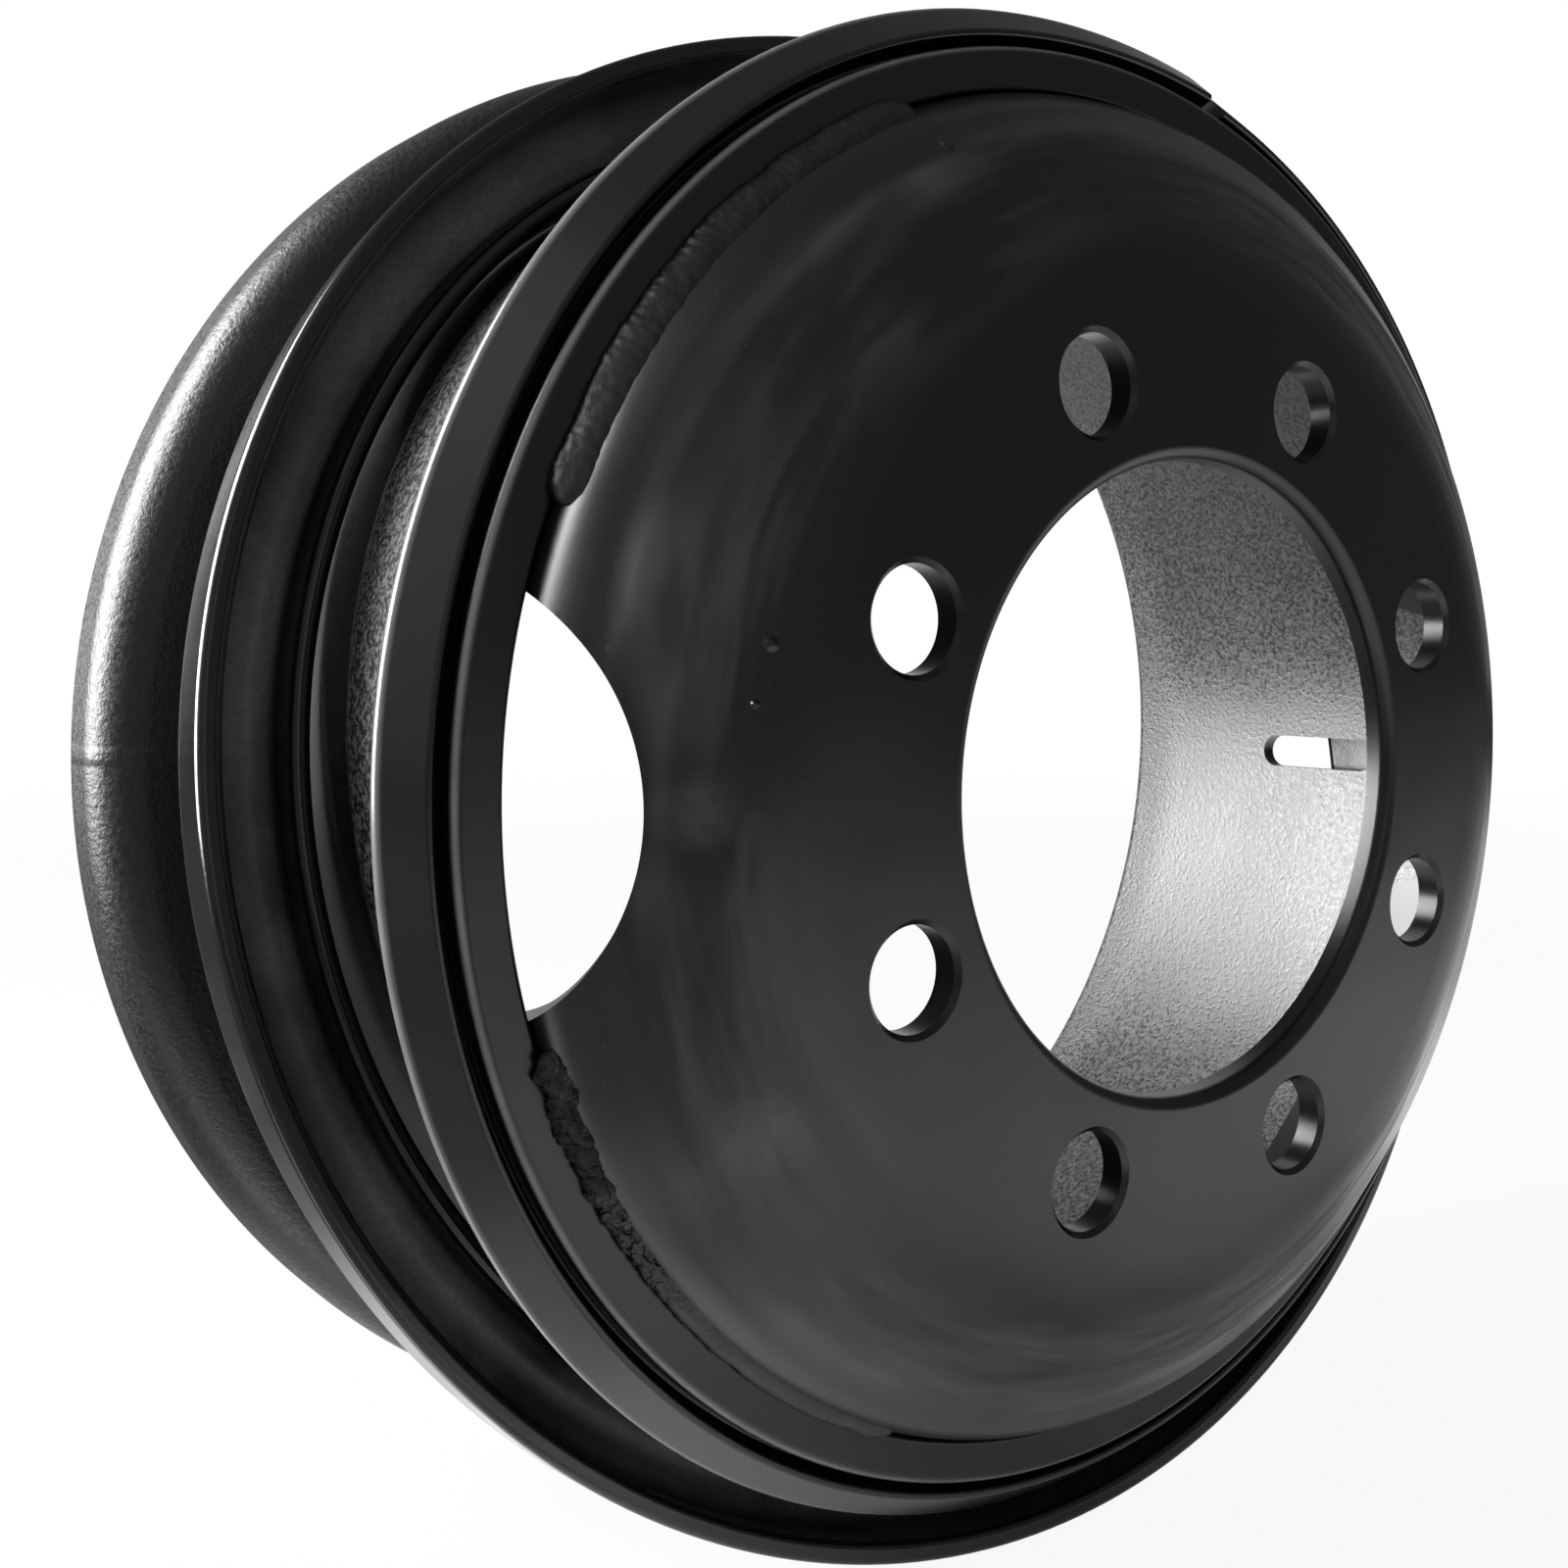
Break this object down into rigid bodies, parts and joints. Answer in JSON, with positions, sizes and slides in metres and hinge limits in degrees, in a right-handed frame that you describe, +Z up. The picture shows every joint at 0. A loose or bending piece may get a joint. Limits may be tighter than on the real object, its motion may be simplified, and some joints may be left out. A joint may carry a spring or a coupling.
{
  "type": "truck wheel",
  "caption": "Steel truck wheel for a tubed tyre: dished disc welded into a rim base with a fixed rear flange, a loose side ring and a split lock ring.",
  "frame": {"origin": "on the wheel's axis, at the hub mounting face, which is the back of the disc's pad", "axes": "+Y along the wheel's axis towards the vehicle, outboard is -Y, +Z up as the wheel stands"},
  "size_m": [0.584, 0.265, 0.5838],
  "materials": {
    "disc_paint": "semi-gloss black paint over pressed steel",
    "rim_paint": "semi-gloss black paint over rolled steel, with a sandy orange peel",
    "lock_ring_paint": "semi-gloss black paint over a rolled bar",
    "side_ring_paint": "semi-gloss black paint over rolled steel",
    "weld_paint": "black paint over rough weld metal"
  },
  "bodies": {
    "root": {"wheel_disc": "disc_paint", "rim_base": "rim_paint", "lock_ring": "lock_ring_paint", "side_ring": "side_ring_paint", "disc_weld_beads": "weld_paint"}
  },
  "joints": []
}
